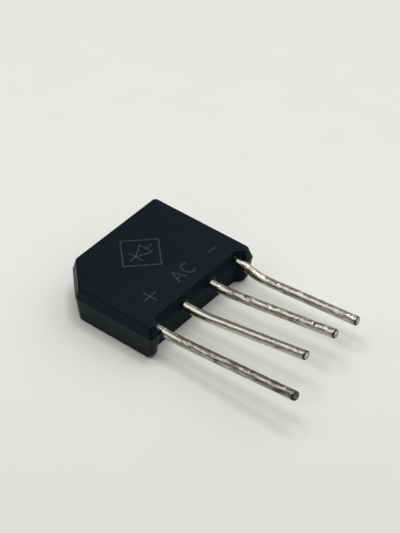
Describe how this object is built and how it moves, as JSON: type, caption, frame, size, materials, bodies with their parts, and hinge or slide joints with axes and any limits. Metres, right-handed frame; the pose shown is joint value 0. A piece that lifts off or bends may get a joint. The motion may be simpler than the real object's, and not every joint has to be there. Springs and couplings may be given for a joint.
{
  "type": "bridge rectifier",
  "caption": "Single-in-line bridge rectifier: flat black epoxy block with a cut polarity corner, stand-off feet and a row of round tinned leads, lying on its back face.",
  "frame": {"origin": "centre of the back face, which the part lies on", "axes": "+Z from the back face to the marked face; -Y the way the leads leave; +X along the row of leads from the positive lead to the negative one"},
  "size_m": [0.0196, 0.0355, 0.0065],
  "materials": {
    "epoxy": "black epoxy moulding compound with a fine satin grain from the mould",
    "tinned_copper": "hot-dipped tin on copper wire, semi-bright, uneven and lightly nicked",
    "bare_copper": "bare rolled copper strip",
    "silicon_chip": "nickel-faced silicon",
    "solder": "reflowed solder"
  },
  "bodies": {
    "root": {"moulded_body": "epoxy", "lead_positive": "tinned_copper", "lead_ac_1": "tinned_copper", "lead_ac_2": "tinned_copper", "lead_negative": "tinned_copper", "positive_bar": "bare_copper", "negative_bar": "bare_copper", "diode_chip_1_upper": "silicon_chip", "diode_chip_1_lower": "silicon_chip", "diode_chip_2_upper": "silicon_chip", "diode_chip_2_lower": "silicon_chip", "solder_1_bar_upper": "solder", "solder_1_pad_upper": "solder", "solder_1_pad_lower": "solder", "solder_1_bar_lower": "solder", "solder_2_bar_upper": "solder", "solder_2_pad_upper": "solder", "solder_2_pad_lower": "solder", "solder_2_bar_lower": "solder", "solder_positive": "solder", "solder_negative": "solder"}
  },
  "joints": []
}
